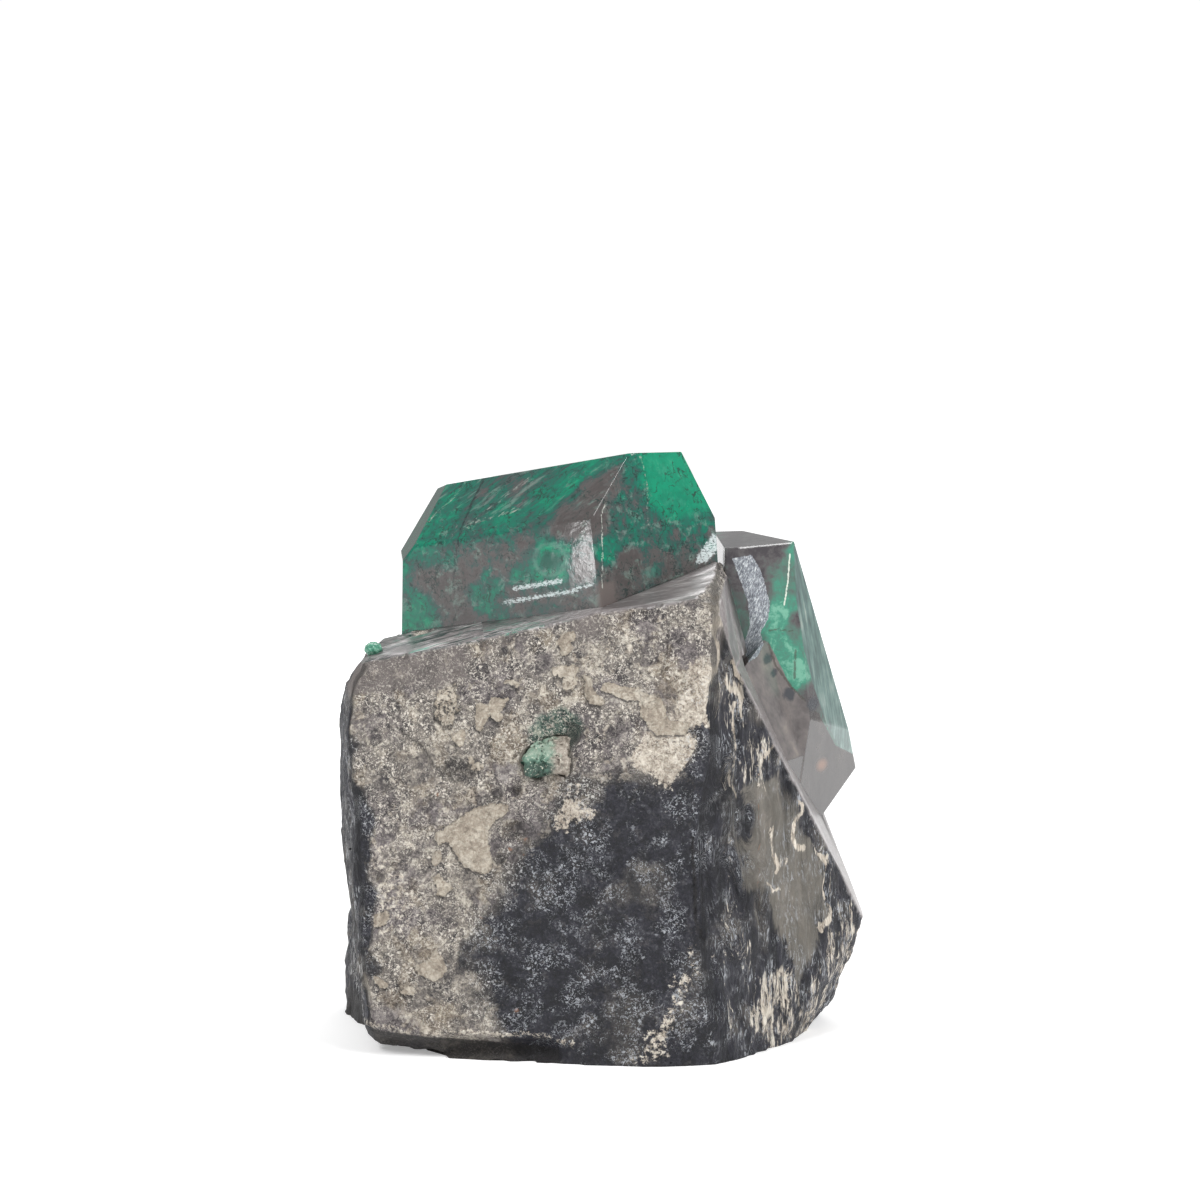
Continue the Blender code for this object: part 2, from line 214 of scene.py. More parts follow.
def copy_of(node, name):
    """A loose copy of a solid, with its corners merged."""
    work_on(frame["nodes"][node])
    bpy.ops.object.duplicate()
    item = bpy.context.object
    item.name = name
    item.data.name = name
    item.parent = None
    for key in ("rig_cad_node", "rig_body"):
        del item[key]
    item.data.materials.clear()
    on_all_of_it(bpy.ops.mesh.remove_doubles, threshold=SAME_CORNER)
    return item


def split_long_edges(item, longest_at, leave=None):
    """Halves the edges that are longer than longest_at(middle), apart from those between two left faces."""
    bpy.ops.object.mode_set(mode="EDIT")
    bpy.ops.mesh.select_mode(type="EDGE")
    for _ in range(9):
        bpy.ops.mesh.select_all(action="DESELECT")
        work = bmesh.from_edit_mesh(item.data)
        left = work.faces.layers.bool.get(leave) if leave else None
        found = 0
        for edge in work.edges:
            if left and all(face[left] for face in edge.link_faces):
                continue
            middle = (edge.verts[0].co + edge.verts[1].co) / 2 / MM
            if edge.calc_length() / MM > longest_at(middle):
                edge.select = True
                found += 1
        work.select_flush_mode()
        bmesh.update_edit_mesh(item.data)
        if not found:
            break
        bpy.ops.mesh.subdivide(number_cuts=1)
        bpy.ops.mesh.select_all(action="SELECT")
        bpy.ops.mesh.quads_convert_to_tris(quad_method="SHORTEST_DIAGONAL", ngon_method="BEAUTY")
    bpy.ops.object.mode_set(mode="OBJECT")


def ease(value, low, high):
    """0 below low, 1 above high, and a soft step between them. Low may be the larger one."""
    share = min(1.0, max(0.0, (value - low) / (high - low)))
    return share * share * (3 - 2 * share)


def from_line(spot, points):
    """How far a spot lies from a line through the points."""
    nearest = 1e9
    for start, end in zip(points, points[1:]):
        foot, share = intersect_point_line(spot, start, end)
        if share < 0:
            foot = Vector(start)
        elif share > 1:
            foot = Vector(end)
        nearest = min(nearest, math.hypot(foot[0] - spot[0], foot[1] - spot[1]))
    return nearest


def inside(spot, outline):
    """How far inside an outline a spot lies, or less than 0 how far outside it."""
    within = False
    for (x0, z0), (x1, z1) in zip(outline, outline[1:] + outline[:1]):
        if (z0 > spot[1]) != (z1 > spot[1]) and spot[0] < (x1 - x0) * (spot[1] - z0) / (z1 - z0) + x0:
            within = not within
    away = from_line(spot, outline + outline[:1])
    return away if within else -away


def flake_step(place, size, seed):
    """From -1 to 1, level over one flake of rock and stepping at its edge."""
    spot = noise.voronoi(place / size + Vector((seed, seed, seed)))[1][0]
    return noise.noise(spot * 7.3)


def boxed(points, margin):
    """The lowest and highest across and up of some points, with a margin."""
    across = [p[0] for p in points]
    up = [p[1] for p in points]
    return min(across) - margin, min(up) - margin, max(across) + margin, max(up) + margin


def within_box(spot, box):
    return box[0] < spot[0] < box[2] and box[1] < spot[1] < box[3]


def paint(item, rows):
    """Keeps the named values of each corner with the mesh, for its material to read."""
    for name in rows[0]:
        layer = item.data.attributes.new(name, "FLOAT", "POINT")
        layer.data.foreach_set("value", [row[name] for row in rows])


schist = copy_of("matrix", "schist_block")
crystal_walls = []
for node in ("top_crystal", "side_crystal", "small_crystal"):
    solid = frame["nodes"][node].data
    sides = [p.vertices for p in solid.polygons]
    crystal_walls.append(BVHTree.FromPolygons([v.co for v in solid.vertices], sides))


def by_a_crystal(place):
    """Whether a place lies on the wall of a crystal's socket."""
    return any(wall.find_nearest(place, SOCKET_GAP * MM)[0] is not None for wall in crystal_walls)


def is_ground(face):
    for azimuth, lean, spot in GROUND_FACES.values():
        way = facing(azimuth, lean)
        if face.normal.dot(way) > SAME_WAY and abs((face.center / MM - Vector(spot)).dot(way)) < OFF_PLANE:
            return True
    return False


left_alone = schist.data.attributes.new("left_alone", "BOOLEAN", "FACE")
kept_faces = []
ground_faces = []
for face in schist.data.polygons:
    ground = is_ground(face)
    wall = all(by_a_crystal(schist.data.vertices[i].co) for i in face.vertices)
    left_alone.data[face.index].value = ground or wall
    if ground or wall:
        kept_faces.append(tuple(face.vertices))
    if ground and face.normal.z > -0.9:  # the base is flat as well, but it isn't polished
        ground_faces.append(tuple(face.vertices))
corners = [v.co / MM for v in schist.data.vertices]
kept_shape = BVHTree.FromPolygons(corners, kept_faces)
ground_shape = BVHTree.FromPolygons(corners, ground_faces)


def edge_wanted(middle):
    """The longest edge that the mesh may have here, in mm."""
    behind = middle.y > 12 or (middle.x < -52 and middle.y > -24) or middle.z < 0.5
    return EDGE_BEHIND if behind else EDGE_SHOWN


split_long_edges(schist, edge_wanted, "left_alone")

bpy.ops.object.mode_set(mode="EDIT")
bpy.ops.mesh.select_mode(type="VERT")
bpy.ops.mesh.select_all(action="DESELECT")
work = bmesh.from_edit_mesh(schist.data)
left = work.faces.layers.bool["left_alone"]
for vert in work.verts:
    vert.select = not any(face[left] for face in vert.link_faces)
work.select_flush_mode()
bmesh.update_edit_mesh(schist.data)
bpy.ops.mesh.vertices_smooth(factor=0.5, repeat=SMOOTHING)
bpy.ops.object.mode_set(mode="OBJECT")

flake_boxes = {name: boxed(outline, 1) for name, (_, _, outline) in FLAKES.items()}
crack_boxes = {name: boxed(points, 2) for name, (_, _, points) in CRACKS.items()}
lip_box = boxed(LIP, 7)


def relief(place, front, side):
    """How far the broken face stands out here, in mm."""
    bedded = Vector((place.x / 1.7, place.y / 1.7, place.z / 15))
    height = sum(high * noise.noise(place / size) for high, size in SWELLS)
    height += (0.3 - 0.15 * side) * flake_step(place, 3.4, 3)
    height += (0.13 - 0.05 * side) * flake_step(place, 1.8, 8)
    height += 0.5 * side * noise.noise(bedded) + 0.2 * side * noise.noise(bedded * 2.3)
    height -= INWARD
    spot = (place.x, place.z)
    if front > 0:
        for name, (thickness, _, outline) in FLAKES.items():
            if within_box(spot, flake_boxes[name]):
                height += front * thickness * ease(inside(spot, outline), -0.35, 0.35)
        for name, (depth, width, points) in CRACKS.items():
            if within_box(spot, crack_boxes[name]):
                height -= front * depth * ease(from_line(spot, points), width, 0)
        for depth, radius, centre in PITS.values():
            height -= front * depth * ease(math.dist(spot, centre), radius, 0.3)
        if within_box(spot, lip_box):
            height += front * LIP_HEIGHT * ease(from_line(spot, LIP), 1.3, 0.2)
    return height


def fall_back(place):
    """How far the foot of the front falls back under its lip here, in mm."""
    if not (-52 < place.x < -5 and place.z < 7):
        return 0.0
    return UNDERCUT * ease(place.z, 6.2, 2.5) * ease(place.x, -5, -12) * ease(place.y, -20, -28)


LAYERS = ("fibre", "ground", "blue", "olive", "band", "cream", "tan", "green", "pale", "deep")
moved = []
rows = []
for vert in schist.data.vertices:
    place = vert.co / MM
    normal = vert.normal
    spot = (place.x, place.z)
    side = ease(max(abs(normal.x), normal.y), 0.45, 0.75)
    front = ease(-normal.y, 0.25, 0.5) if place.y < 5 else 0.0
    off_kept = ease(kept_shape.find_nearest(place)[3], 0, GROUND_REACH)
    wander = Vector((noise.noise(place / 7), 0, noise.noise(place / 7 + Vector((9, 9, 9))))) * WANDER
    loose = (place.x + wander.x, place.z + wander.z)
    seen = place.y < 12 and normal.y < 0.3
    new_place = place + normal * relief(place, front, side) * off_kept
    new_place.y += fall_back(place) * off_kept
    new_place.z = max(new_place.z, 0.0)
    moved.append(new_place)
    row = dict.fromkeys(LAYERS, 0.0)
    row["fibre"] = side
    row["ground"] = ease(ground_shape.find_nearest(place)[3], 0.5, 0.05)
    if seen and place.x > -30:
        row["blue"] = ease(inside(loose, BLUE_BLACK), -7, 4.5)
        row["olive"] = ease(inside(loose, OLIVE), -2.5, 3)
    else:
        dark_edge = 0.9 * ease(inside(loose, DARK_EDGE), -2, 1) if seen else 0.0
        row["blue"] = max(dark_edge, side * (0.75 + 0.25 * noise.noise(place / 12)))
    if seen and place.z > 60:
        purple = ease(inside(spot, PURPLE_PATCH), -1, 1)
        row["band"] = max(ease(inside(loose, SMOOTH_BAND), -2, 2.5), purple)
        row["green"] = ease(inside(spot, GREEN_HOLLOW), -3, 2)
    if seen:
        row["cream"] = max(much * ease(inside(loose, patch), -2.5, 1.5) for much, patch in CREAM_PATCHES)
        # Painted shade: darker under the lip at the foot, just below each flake, along the cracks and in the
        # pits
        deep = [ease(place.z + 0.077 * (place.x + 50), 6.8, 5.2) * ease(place.x, -4, -12)]
        tan = [0.0]
        for name, (_, tint, outline) in FLAKES.items():
            if within_box(spot, flake_boxes[name]):
                tan.append(tint * ease(inside(spot, outline), -0.5, 0.5))
                deep.append(0.7 * ease(inside((spot[0] + 0.2, spot[1] + 0.7), outline), -0.4, 0.4))
        for name, (depth, width, points) in CRACKS.items():
            if within_box(spot, crack_boxes[name]):
                deep.append(depth * ease(from_line(spot, points), width + 0.4, 0.2))
        for _, radius, centre in PITS.values():
            deep.append(0.6 * ease(math.dist(spot, centre), radius, radius * 0.4))
        pale = [ease(from_line(loose, points), width, 0.1) for width, points in PALE_LINES]
        if within_box(spot, lip_box):
            pale.append(0.62 * ease(from_line(spot, LIP), 1.6, 0.3))
        row.update(tan=max(tan), deep=max(deep), pale=max(pale))
    rows.append(row)
for vert, place in zip(schist.data.vertices, moved):
    vert.co = place * MM
paint(schist, rows)


def shade(*colour):
    """A colour as a screen shows it, from 0 to 255, in the values that a shader takes."""
    return tuple((c / 255 / 12.92 if c <= 10 else ((c / 255 + 0.055) / 1.055) ** 2.4) for c in colour) + (1,)


def new_finish(name):
    """An empty material, its tree and its shader. The helpers below add to the last tree so named."""
    finish = bpy.data.materials.new(name)
    finish.use_nodes = True
    return finish, finish.node_tree, finish.node_tree.nodes["Principled BSDF"]


def feed(item, inputs):
    """Gives a node its inputs, by name or number: values, or the outputs of other nodes."""
    for key, value in inputs.items():
        if isinstance(value, bpy.types.NodeSocket):
            tree.links.new(value, item.inputs[key])
        else:
            item.inputs[key].default_value = value


def step(kind, inputs, **settings):
    """A new node with its inputs and its settings."""
    item = tree.nodes.new(kind)
    for key, value in settings.items():
        setattr(item, key, value)
    feed(item, inputs)
    return item


def in_mm():
    place = step("ShaderNodeTexCoord", {}).outputs["Object"]
    return step("ShaderNodeVectorMath", {0: place, "Scale": 1000}, operation="SCALE").outputs[0]


def drawn_out(place, shrink, turn=(0, 0, 0), move=(0, 0, 0)):
    """A place turned and then squeezed, so that a pattern read there is drawn out along an axis."""
    if turn != (0, 0, 0):
        place = step("ShaderNodeMapping", {"Vector": place, "Rotation": turn}).outputs[0]
    return step("ShaderNodeMapping", {"Vector": place, "Scale": shrink, "Location": move}).outputs[0]


def clouds(place, size, detail=3, roughness=0.55, twist=0, output="Fac"):
    """Soft noise of a size in mm, about 0.5 all over."""
    return step("ShaderNodeTexNoise", {
        "Vector": place, "Scale": 1 / size, "Detail": detail, "Roughness": roughness, "Distortion": twist,
    }).outputs[output]


def between(value, low, high):
    """0 where a value is low and 1 where it is high."""
    inputs = {"Value": value, "From Min": low, "From Max": high}
    return step("ShaderNodeMapRange", inputs, interpolation_type="SMOOTHSTEP").outputs[0]


def cells(place, scale):
    """Cells of random size, by how many go in a mm."""
    return step("ShaderNodeTexVoronoi", {"Vector": place, "Scale": scale})


def randoms(pattern):
    """Three random values for each of the cells."""
    return step("ShaderNodeSeparateColor", {0: pattern.outputs["Color"]}).outputs


def shaken(place, pattern, size, amount):
    """A place pushed about by noise, so that borders read there turn wavy."""
    push = {0: clouds(pattern, size, 2, output="Color"), "Scale": amount}
    push = step("ShaderNodeVectorMath", push, operation="SCALE").outputs[0]
    return step("ShaderNodeVectorMath", {0: place, 1: push}, operation="ADD").outputs[0]


def sums(operation, first, second=0.5):
    return step("ShaderNodeMath", {0: first, 1: second}, operation=operation).outputs[0]


def times(first, second):
    return sums("MULTIPLY", first, second)


def rest_of(share):
    return sums("SUBTRACT", 1, share)


def swing(value, amount):
    """A noise about 0.5 as a swing about 0."""
    return times(sums("SUBTRACT", value), amount)


def total(*parts):
    value = parts[0]
    for part in parts[1:]:
        value = sums("ADD", value, part)
    return value


def over(share, below, above):
    """A colour laid over another."""
    return step("ShaderNodeMix", {"Factor": share, 6: below, 7: above}, data_type="RGBA").outputs[2]


def ramp(value, stops):
    """Colours along a value."""
    item = step("ShaderNodeValToRGB", {"Fac": value})
    points = item.color_ramp.elements
    for number, (at, colour) in enumerate(stops):
        point = points[number] if number < 2 else points.new(at)
        point.position = at
        point.color = shade(*colour)
    return item.outputs["Color"]


def painted(name):
    return step("ShaderNodeAttribute", {}, attribute_name=name).outputs["Fac"]


def share_of(name, low, high, *noises):
    """How far a painted zone shows, with its border broken up by noises."""
    return between(total(painted(name), *noises), low, high)


def lines(value, width):
    """Thin lines where a noise passes its middle."""
    return between(sums("ABSOLUTE", sums("SUBTRACT", value)), width, width * 0.3)


def bumps(height, depth, strength):
    """Small bumps, a depth in mm high."""
    inputs = {"Height": height, "Distance": depth * MM, "Strength": strength}
    return step("ShaderNodeBump", inputs).outputs[0]


def by_side(front, sides):
    """A place read one way on the front and another way on the fibrous sides."""
    return step("ShaderNodeMix", {"Factor": fibre, 4: front, 5: sides}, data_type="VECTOR").outputs[1]


def clad(item, finish, angle):
    """Gives a piece its material, and soft shading where faces meet at under an angle in degrees."""
    item.data.materials.append(finish)
    work_on(item)
    bpy.ops.object.shade_smooth_by_angle(angle=math.radians(angle))


rock, tree, shader = new_finish("raw_mica_schist")
place = in_mm()
fibre, blue, olive = painted("fibre"), painted("blue"), painted("olive")
band, cream, ground = painted("band"), painted("cream"), painted("ground")
lying = by_side(place, drawn_out(place, (1, 1, 0.2)))
bent = shaken(lying, place, 1.6, 1.3)
wide = clouds(place, 12, 4, 0.6)
middling = clouds(lying, 3.6, 4, 0.65)
grains = clouds(lying, 1.0, 4, 0.75, 0.4)
specks = clouds(drawn_out(lying, (1, 1, 1), move=(13, 5, 31)), 0.45, 2, 0.7)
plates, flakes, chips = cells(bent, 1 / 4.6), cells(bent, 1 / 2.4), cells(bent, 1 / 0.8)
flake_tone = total(swing(randoms(flakes)[0], 0.2), swing(randoms(plates)[0], 0.1))
chip_randoms = randoms(chips)
chip_tone = swing(chip_randoms[1], 0.15)
rough_tone = total(0.5, flake_tone, chip_tone, swing(grains, 0.42), swing(specks, 0.34))
tone = total(rough_tone, swing(middling, 0.4), times(cream, 0.1))
quiet = total(0.5, times(flake_tone, 0.4), swing(grains, 0.3), swing(middling, 0.4))

brown = ramp(tone, [
    (0.27, (60, 58, 60)), (0.4, (94, 89, 86)), (0.5, (120, 114, 108)), (0.58, (144, 137, 128)),
    (0.67, (180, 172, 159)), (0.78, (212, 206, 194))])
brown = over(between(wide, 0.55, 0.4), brown, ramp(tone, [
    (0.3, (58, 54, 56)), (0.44, (90, 84, 85)), (0.56, (118, 111, 111)), (0.72, (166, 160, 155))]))
brown = over(between(clouds(place, 9, 4, 0.6), 0.52, 0.66), brown, ramp(tone, [
    (0.3, (78, 70, 62)), (0.44, (118, 107, 95)), (0.56, (146, 135, 120)), (0.72, (190, 180, 162))]))
dusky = ramp(tone, [
    (0.3, (34, 33, 36)), (0.5, (62, 59, 58)), (0.62, (84, 80, 76)), (0.76, (132, 127, 119))])
night = ramp(sums("SUBTRACT", tone, 0.02), [
    (0.3, (12, 13, 20)), (0.45, (21, 22, 31)), (0.54, (31, 31, 41)), (0.64, (50, 50, 58)),
    (0.78, (96, 97, 101))])
night = over(between(wide, 0.52, 0.66), night, dusky)
soft_green = ramp(quiet, [(0.3, (72, 69, 64)), (0.5, (98, 94, 87)), (0.62, (120, 114, 106))])
mossy = ramp(tone, [(0.3, (30, 40, 38)), (0.5, (58, 78, 70)), (0.6, (88, 108, 98)), (0.7, (150, 154, 140))])
tan = ramp(total(quiet, swing(specks, 0.4), swing(chip_randoms[0], 0.15)), [
    (0.3, (132, 121, 109)), (0.5, (172, 161, 146)), (0.7, (212, 204, 190))])
chalky = total(quiet, times(chip_tone, 1.2), swing(specks, 0.5), swing(grains, 0.45))
creamy = ramp(chalky, [
    (0.3, (120, 110, 100)), (0.44, (168, 157, 143)), (0.56, (202, 192, 178)), (0.75, (232, 226, 214))])

body = over(share_of("blue", 0.15, 0.5, swing(middling, 1.2), swing(grains, 0.5)), brown, dusky)
body = over(share_of("blue", 0.45, 0.75, swing(middling, 1), swing(grains, 0.6)), body, night)
body = over(share_of("olive", 0.3, 0.75, swing(grains, 1.4), swing(middling, 1.2)), body, soft_green)
body = over(share_of("band", 0.35, 0.75, swing(grains, 1), swing(middling, 1)), body, ramp(quiet, [
    (0.3, (86, 81, 79)), (0.5, (112, 105, 102)), (0.66, (132, 125, 120))]))
body = over(share_of("cream", 0.5, 0.72, swing(grains, 1.6), swing(middling, 1.2)), body, creamy)
body = over(share_of("green", 0.35, 0.9, swing(middling, 1.2), swing(grains, 0.6)), body, mossy)


def flecks(size, width, gaps, move):
    """The bright edges of small flakes: thin curved marks, with gaps."""
    moved = drawn_out(lying, (1, 1, 1), move=move)
    marks = lines(clouds(moved, size, 2, 0.6, 0.8), width)
    return times(marks, between(clouds(moved, size * 0.45, 2), gaps, gaps + 0.05))


smoother = total(times(band, 0.6), times(olive, 0.45))
crust = between(total(clouds(place, 4.5, 4, 0.7), swing(grains, 0.3)), 0.58, 0.63)
crust = times(crust, rest_of(total(smoother, times(blue, 0.95))))
body = over(times(crust, 0.65), body, creamy)
crowd = total(clouds(place, 6, 4, 0.65), times(blue, -0.06))
crowded = times(between(crowd, 0.38, 0.56), rest_of(smoother))
dark_grains = between(clouds(drawn_out(lying, (1, 1, 1), move=(3, 17, 9)), 0.85, 3, 0.7, 0.6), 0.42, 0.37)
body = over(times(dark_grains, times(crowded, 0.62)), body, shade(50, 48, 50))
pale_marks = sums("MAXIMUM", flecks(1.7, 0.032, 0.48, (0, 0, 0)), flecks(0.9, 0.04, 0.5, (7, 3, 2)))
small_dots = times(between(chips.outputs["Distance"], 0.42, 0.3), between(chip_randoms[2], 0.86, 0.88))
pale_marks = sums("MAXIMUM", pale_marks, small_dots)
shown = total(0.2, times(crowded, 0.75), times(blue, -0.18))
pale_marks = times(pale_marks, shown)
body = over(pale_marks, body, over(blue, shade(220, 213, 202), shade(188, 192, 198)))
tan_share = share_of("tan", 0.36, 0.46, swing(grains, 1.3), swing(middling, 0.6))
body = over(tan_share, body, tan)
body = over(share_of("pale", 0.55, 0.85, swing(grains, 2.2), swing(middling, 1.2)), body, creamy)
# Painted shade under the lip and the flakes and in the cracks and pits, laid on as a near-black colour
deep = times(rest_of(tan_share), share_of("deep", 0.3, 0.8, swing(grains, 1)))
body = over(times(deep, 0.88), body, shade(34, 32, 33))
rust_cells = cells(bent, 0.22)
rust = between(rust_cells.outputs["Distance"], 0.14, 0.04)
rust = times(rust, between(rust_cells.outputs["Color"], 0.78, 0.8))
body = over(times(rust, 0.5), body, shade(156, 106, 76))

ground_lines = by_side(drawn_out(place, (0.05, 1, 0.4)), drawn_out(place, (1, 1, 0.06)))
streaks = clouds(ground_lines, 1.3, 4, 0.7, 0.2)
across = step("ShaderNodeSeparateXYZ", {0: place}).outputs[0]
left_end = between(across, -2, -16)
polished = ramp(total(0.5, swing(wide, 0.6), swing(middling, 0.4)), [
    (0.3, (98, 93, 93)), (0.5, (122, 116, 116)), (0.7, (146, 140, 138))])
polished = over(times(between(streaks, 0.5, 0.42), left_end), polished, shade(46, 60, 58))
polished = over(times(between(streaks, 0.57, 0.62), left_end), polished, shade(66, 128, 110))
fine_lines = between(clouds(ground_lines, 0.5, 3, 0.7), 0.54, 0.62)
polished = over(times(fine_lines, 0.75), polished, shade(196, 193, 192))
matt = over(blue, (0.75, 0.75, 0.75, 1), (0.55, 0.55, 0.55, 1))
raw = rest_of(total(times(ground, 0.95), times(olive, 0.4)))
risen = total(
    rough_tone, swing(middling, 0.8), times(dark_grains, -0.15), times(tan_share, 0.4), times(crust, 0.15))
feed(shader, {
    "Base Color": over(ground, body, polished),
    "Roughness": over(ground, matt, (0.28, 0.28, 0.28, 1)),
    "Normal": bumps(risen, 1.5, raw),
})
clad(schist, rock, 38)
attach(schist, "root")
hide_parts("matrix")

# ---------------------------------------------------------------------------------------------
# The top crystal: one short thick emerald crystal, grown into the rock, ground to flat facets and
# polished. It is cloudy green and grey-brown, with fibres, round spots and one dark fracture.
ROUNDING = 0.22  # how far the polish has broken the edges of both polished crystals, in mm
PAINTED_EDGE = 1.0  # the longest edge of their meshes, in mm
EMERALD_IOR = 1.58
# Where the green is: across, up and reach in mm, and from 0 for grey-brown to 1 for full green
TOP_GREENS = [
    (-40.2, 111.7, 4, 0.8), (-35.5, 116.3, 4, 0.72), (-37.6, 106.9, 3, 0.62), (-34, 104.8, 2.5, 0.55),
    (-30.9, 120.1, 4, 0.65), (-27, 111.5, 3, 0.5), (-22, 113.4, 3.5, 0.78), (-26, 117, 2.5, 0.36),
    (-18.5, 121, 3, 0.36), (-15, 118, 3, 0.6), (-11.4, 117.9, 3.5, 0.85), (-13, 123.5, 2.5, 0.55),
    (-6.4, 121.6, 2.6, 0.85), (-2.3, 124.4, 2, 0.85), (2, 126.5, 2, 0.7), (-8, 125, 2, 0.62),
    (-6.6, 116, 2.4, 0.12), (-3, 119.5, 2.6, 0.08), (1.2, 121.5, 2.6, 0.05), (3.4, 124, 1.6, 0.12),
    (-1.5, 115, 2.6, 0.0), (-8, 113, 2.4, 0.06), (-14, 113, 2.4, 0.45), (-17.1, 102.3, 2.2, 0.72),
    (-26.8, 96.4, 2.2, 0.68), (-23.3, 100.4, 1.8, 0.6), (-39.9, 93.5, 3, 0.82), (-42.9, 101, 1.6, 0.62),
    (-42.4, 97, 1.8, 0.5), (-38.5, 100.6, 2.6, 0.08), (-35.1, 97.5, 2.6, 0.1), (-30.6, 100.8, 2.8, 0.04),
    (-26.1, 106.8, 2.5, 0.28), (-19.5, 107.5, 2.6, 0.22), (-17.3, 96.8, 2.6, 0.3), (-3.4, 97, 2.6, 0.15),
    (-3.8, 104, 2.4, 0.14), (-21, 103.6, 1.8, 0.18), (-30, 94.6, 2.6, 0.1), (-10.7, 105.4, 3.2, 0.78),
    (-13, 99, 2, 0.35), (17, 125, 5.5, 1.0), (12, 125.5, 2.6, 1.0), (20, 118, 3.6, 0.95),
    (16.5, 116, 2.8, 0.92), (22.6, 113.6, 1.8, 0.72), (7, 124.6, 1.8, 0.5), (6.5, 119, 2.4, 0.48),
    (5, 114.6, 2.6, 0.5), (9.4, 112.4, 2.6, 0.55), (1.8, 107.2, 1.8, 0.8), (17, 109.6, 3, 0.42),
    (21.5, 110, 2.6, 0.5), (13.6, 106.4, 2.4, 0.3), (6.2, 103, 2.8, 0.04), (14.6, 101, 2.4, 0.05),
    (11.1, 102.5, 2, 0.5), (20, 104.6, 2.6, 0.15), (3.4, 97.5, 2.4, 0.05),
]
ROUND_SPOTS = [  # across, up and radius in mm, how pale the rim and the inside are and how dark the middle
    (-10.7, 105.4, 4, 0.55, 0, 0.75), (11.1, 102.5, 2.3, 0.35, 0.45, 0), (-17.1, 102.3, 2, 0.25, 0, 0.3),
    (-26.8, 96.4, 1.9, 0.3, 0, 0.4),
]
FRACTURE = [(-25.6, 122.6), (-28.4, 116.5), (-30.5, 111.4), (-31.7, 105.3), (-32.4, 99)]
# A painted highlight along a slight facet edge on the right, in mm
FACET_EDGE_HIGHLIGHT = [(8.6, 127.9), (9.6, 125), (10.3, 121.3), (10.3, 116.4), (10.7, 111.6)]
SHORT_CRACK = [(15.2, 123.3), (16, 120.7), (17.4, 118.1)]
PALE_THREADS = [
    [(-29.1, 111.9), (-24.1, 116), (-19.7, 119.5), (-15.1, 122.6)],
    [(-27.4, 113), (-21.8, 114.6), (-17.4, 116.2)],
    [(-38, 113), (-33, 117.5), (-30, 121)],
]
GRINDING_MARKS = [  # how wide and where, in mm
    (0.55, [(-18.4, 98.9), (-8.3, 101)]), (0.5, [(-20.6, 95.8), (-5.3, 99)]),
    (0.3, [(-6, 99), (-1.5, 100.4)]),
]
BURR = [(20.9, 103.6), (21.4, 105.6), (25, 110.2), (26.5, 110.4), (26.5, 107), (23.7, 104)]
PILLAR = [(-0.6, 101), (3.4, 101.4), (4.2, 96), (2.6, 94), (-0.8, 94)]
# A painted highlight: the pale line down the front ridge, in place of the light that the ridge catches, in
# mm
RIDGE_HIGHLIGHT_LINE = [(0.5, 99.5), (0.6, 108), (0.4, 115.4), (1.4, 118)]


def rounded_crystal(node, name):
    """A crystal with its edges just broken by the polish, and its faces cut up for painting."""
    item = copy_of(node, name)
    on_all_of_it(bpy.ops.mesh.dissolve_limited, angle_limit=math.radians(0.5))
    soft = item.modifiers.new("rounding", "BEVEL")
    soft.width = ROUNDING * MM
    soft.segments = 2
    soft.limit_method = "ANGLE"
    soft.angle_limit = math.radians(5)
    bpy.ops.object.modifier_apply(modifier="rounding")
    on_all_of_it(bpy.ops.mesh.quads_convert_to_tris, quad_method="BEAUTY", ngon_method="BEAUTY")
    split_long_edges(item, lambda middle: PAINTED_EDGE)
    return item


def mingled(spot, spots, rest):
    """The value of the nearest named spots, mingled, or the rest where none is near."""
    weight = 0.02
    value = weight * rest
    for across, up, reach, amount in spots:
        share = math.exp(-((spot[0] - across) ** 2 + (spot[1] - up) ** 2) / reach ** 2)
        weight += share
        value += share * amount
    return value / weight


